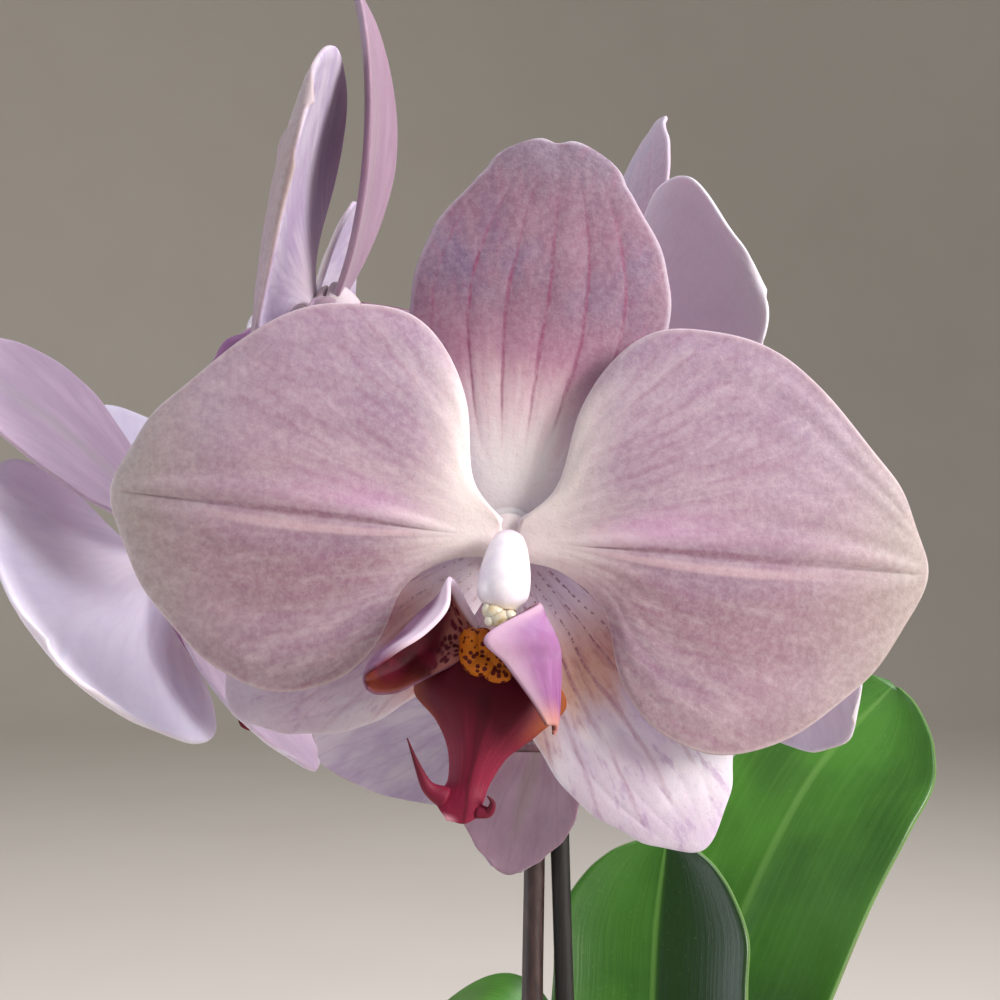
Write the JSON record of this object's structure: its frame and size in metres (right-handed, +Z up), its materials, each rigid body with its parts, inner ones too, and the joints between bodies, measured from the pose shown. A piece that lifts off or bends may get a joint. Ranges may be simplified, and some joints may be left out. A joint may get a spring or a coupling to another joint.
{
  "type": "potted miniature moth orchid",
  "caption": "Miniature moth orchid in a plain tapered pot of bark, with strap leaves and a staked flower spike of broad mauve-pink blooms with crimson lips.",
  "frame": {"origin": "middle of the pot's flat underside", "axes": "+Z up from the surface the pot stands on; the front bloom faces -Y and +X is to its right as seen"},
  "size_m": [0.15, 0.1191, 0.2582],
  "materials": {
    "sepal": "dusty mauve-pink sepal with crimson veins",
    "petal": "dusty pink petal, cream towards the middle",
    "lip": "waxy dark crimson lip with orange-brown margins",
    "column": "waxy white",
    "spike": "dark purple-brown living stem",
    "stake": "dark stained cane",
    "clip": "plain moulded clip",
    "leaf": "thick glossy green leaf",
    "root": "silvery velvet skin of an aerial root",
    "crown": "green living stem",
    "pot": "plain off-white glaze",
    "bark": "dry chipped bark"
  },
  "bodies": {
    "root": {"bloom_front_sepals": "sepal", "bloom_front_petals": "petal", "bloom_front_lip": "lip", "bloom_front_column": "column", "bloom_left_sepals": "sepal", "bloom_left_petals": "petal", "bloom_left_lip": "lip", "bloom_left_column": "column", "bloom_upper_left_sepals": "sepal", "bloom_upper_left_petals": "petal", "bloom_upper_left_lip": "lip", "bloom_upper_left_column": "column", "bloom_upper_right_sepals": "sepal", "bloom_upper_right_petals": "petal", "bloom_upper_right_lip": "lip", "bloom_upper_right_column": "column", "bloom_right_sepals": "sepal", "bloom_right_petals": "petal", "bloom_right_lip": "lip", "bloom_right_column": "column", "bloom_lower_sepals": "sepal", "bloom_lower_petals": "petal", "bloom_lower_lip": "lip", "bloom_lower_column": "column", "flower_spike": "spike", "stake": "stake", "clip": "clip", "leaf_1": "leaf", "leaf_2": "leaf", "leaf_3": "leaf", "leaf_4": "leaf", "leaf_5": "leaf", "root_1": "root", "root_2": "root", "root_3": "root", "crown": "crown", "pot": "pot", "bark": "bark"}
  },
  "joints": []
}
